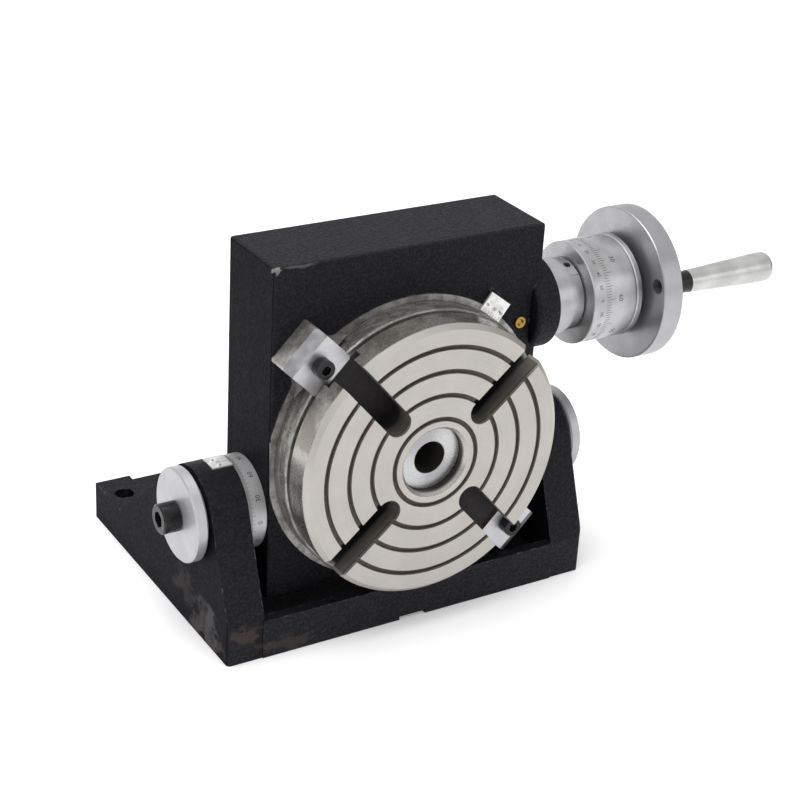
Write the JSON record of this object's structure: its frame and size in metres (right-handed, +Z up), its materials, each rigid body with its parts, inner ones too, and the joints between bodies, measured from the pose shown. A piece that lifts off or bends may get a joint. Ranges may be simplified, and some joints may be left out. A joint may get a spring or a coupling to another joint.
{
  "type": "tilting rotary table",
  "caption": "Tilting rotary table for machine tools: a worm-driven round table with T-slots on a body that tilts between two brackets, with handwheel, dial and clamps.",
  "frame": {"origin": "on the base's underside, below the tilt axis and midway between the two brackets", "axes": "+Z up; +X to the handwheel; the round table faces -Y at rest, so +Y is behind it"},
  "size_m": [0.346, 0.1825, 0.205],
  "materials": {
    "black_crinkle_paint": "rough crinkle paint",
    "ground_cast_iron": "turned and ground",
    "satin_steel": "satin turned",
    "turned_steel": "turned",
    "clamp_steel": "ground satin",
    "black_oxide_steel": "black oxide",
    "plate_aluminium": "matt",
    "bronze": "turned bronze",
    "brass": "polished",
    "bearing_steel": "ground"
  },
  "bodies": {
    "base": {"base_casting": "black_crinkle_paint", "tilt_index_plate": "plate_aluminium", "tilt_index_plate_rivets": "plate_aluminium"},
    "head": {"rotary_body": "black_crinkle_paint", "vernier_plate": "plate_aluminium", "vernier_plate_rivets": "plate_aluminium", "ball_oiler": "brass", "table_front_bush": "bronze", "rear_cover": "black_crinkle_paint", "rear_cover_screws": "black_oxide_steel", "table_rear_bush": "bronze", "thrust_bearing_housing_washer": "bearing_steel", "tilt_scale_trunnion": "satin_steel", "left_trunnion_screws": "black_oxide_steel", "left_clamp_disc": "satin_steel", "plain_trunnion": "satin_steel", "right_trunnion_screws": "black_oxide_steel", "right_clamp_disc": "satin_steel"},
    "table": {"table_top": "ground_cast_iron", "worm_wheel": "bronze", "worm_wheel_screws": "black_oxide_steel", "thrust_bearing_shaft_washer": "bearing_steel", "spindle_nut": "turned_steel", "spindle_nut_set_screw": "black_oxide_steel"},
    "bearing": {"thrust_bearing_balls": "bearing_steel", "thrust_bearing_cage": "brass"},
    "sleeve": {"eccentric_sleeve": "satin_steel", "worm_left_bush": "bronze", "worm_middle_bush": "bronze", "worm_outer_bush": "bronze", "index_ring": "satin_steel", "index_ring_set_screw": "black_oxide_steel"},
    "worm": {"worm_shaft": "turned_steel", "handwheel": "satin_steel", "handwheel_key": "turned_steel", "handwheel_washer": "turned_steel", "handwheel_nut": "turned_steel", "handle_stud": "turned_steel", "handle_snap_ring": "black_oxide_steel"},
    "grip": {"handle_grip": "satin_steel"},
    "dial": {"graduated_dial": "satin_steel"},
    "lock_ring": {"dial_lock_ring": "satin_steel"},
    "sleeve_lock": {"sleeve_lock_screw": "black_oxide_steel"},
    "upper_clamp": {"upper_clamp_plate": "clamp_steel"},
    "upper_screw": {"upper_clamp_screw": "black_oxide_steel"},
    "lower_clamp": {"lower_clamp_plate": "clamp_steel"},
    "lower_screw": {"lower_clamp_screw": "black_oxide_steel"},
    "left_tilt_bolt": {"left_tilt_clamp_bolt": "black_oxide_steel"},
    "right_tilt_bolt": {"right_tilt_clamp_bolt": "black_oxide_steel"}
  },
  "joints": [
    {"name": "head_tilt", "type": "hinge", "parent": "base", "child": "head", "pos_m": [0, 0, 0.0675], "axis": [1, 0, 0], "range_deg": [-90, 0]},
    {"name": "table_spin", "type": "hinge", "parent": "head", "child": "table", "pos_m": [0, 0, 0.09875], "axis": [0, 1, 0], "continuous": true},
    {"name": "bearing_spin", "type": "hinge", "parent": "head", "child": "bearing", "pos_m": [0, 0.0145, 0.09875], "axis": [0, 1, 0], "continuous": true},
    {"name": "sleeve_turn", "type": "hinge", "parent": "head", "child": "sleeve", "pos_m": [0.04, -0.00623, 0.15552], "axis": [1, 0, 0], "range_deg": [-90, 0]},
    {"name": "handwheel_spin", "type": "hinge", "parent": "sleeve", "child": "worm", "pos_m": [0.1, -0.0075, 0.15425], "axis": [1, 0, 0], "continuous": true},
    {"name": "grip_spin", "type": "hinge", "parent": "worm", "child": "grip", "pos_m": [0.19, -0.0418, 0.16495], "axis": [1, 0, 0], "continuous": true},
    {"name": "dial_spin", "type": "hinge", "parent": "worm", "child": "dial", "pos_m": [0.122, -0.0075, 0.15425], "axis": [1, 0, 0], "continuous": true},
    {"name": "lock_ring_turn", "type": "hinge", "parent": "worm", "child": "lock_ring", "pos_m": [0.138, -0.0075, 0.15425], "axis": [1, 0, 0], "range_deg": [0, 60]},
    {"name": "sleeve_lock_turn", "type": "hinge", "parent": "head", "child": "sleeve_lock", "pos_m": [0.058, 0.014, 0.15552], "axis": [0, 1, 0], "range_deg": [0, 90]},
    {"name": "upper_clamp_slide", "type": "slide", "parent": "head", "child": "upper_clamp", "axis": [0, -1, 0], "range_m": [0, 0.0002]},
    {"name": "upper_screw_turn", "type": "hinge", "parent": "upper_clamp", "child": "upper_screw", "pos_m": [-0.05976, -0.04, 0.15707], "axis": [0, -1, 0], "range_deg": [0, 65]},
    {"name": "lower_clamp_slide", "type": "slide", "parent": "head", "child": "lower_clamp", "axis": [0, -1, 0], "range_m": [0, 0.0002]},
    {"name": "lower_screw_turn", "type": "hinge", "parent": "lower_clamp", "child": "lower_screw", "pos_m": [0.05976, -0.04, 0.04043], "axis": [0, -1, 0], "range_deg": [0, 65]},
    {"name": "left_tilt_bolt_turn", "type": "hinge", "parent": "head", "child": "left_tilt_bolt", "pos_m": [-0.11, 0, 0.0675], "axis": [-1, 0, 0], "range_deg": [0, 90]},
    {"name": "right_tilt_bolt_turn", "type": "hinge", "parent": "head", "child": "right_tilt_bolt", "pos_m": [0.11, 0, 0.0675], "axis": [1, 0, 0], "range_deg": [0, 90]}
  ],
  "couplings": [
    {"joint": "table_spin", "follows": "handwheel_spin", "ratio": -0.011111},
    {"joint": "bearing_spin", "follows": "handwheel_spin", "ratio": -0.0055556}
  ]
}
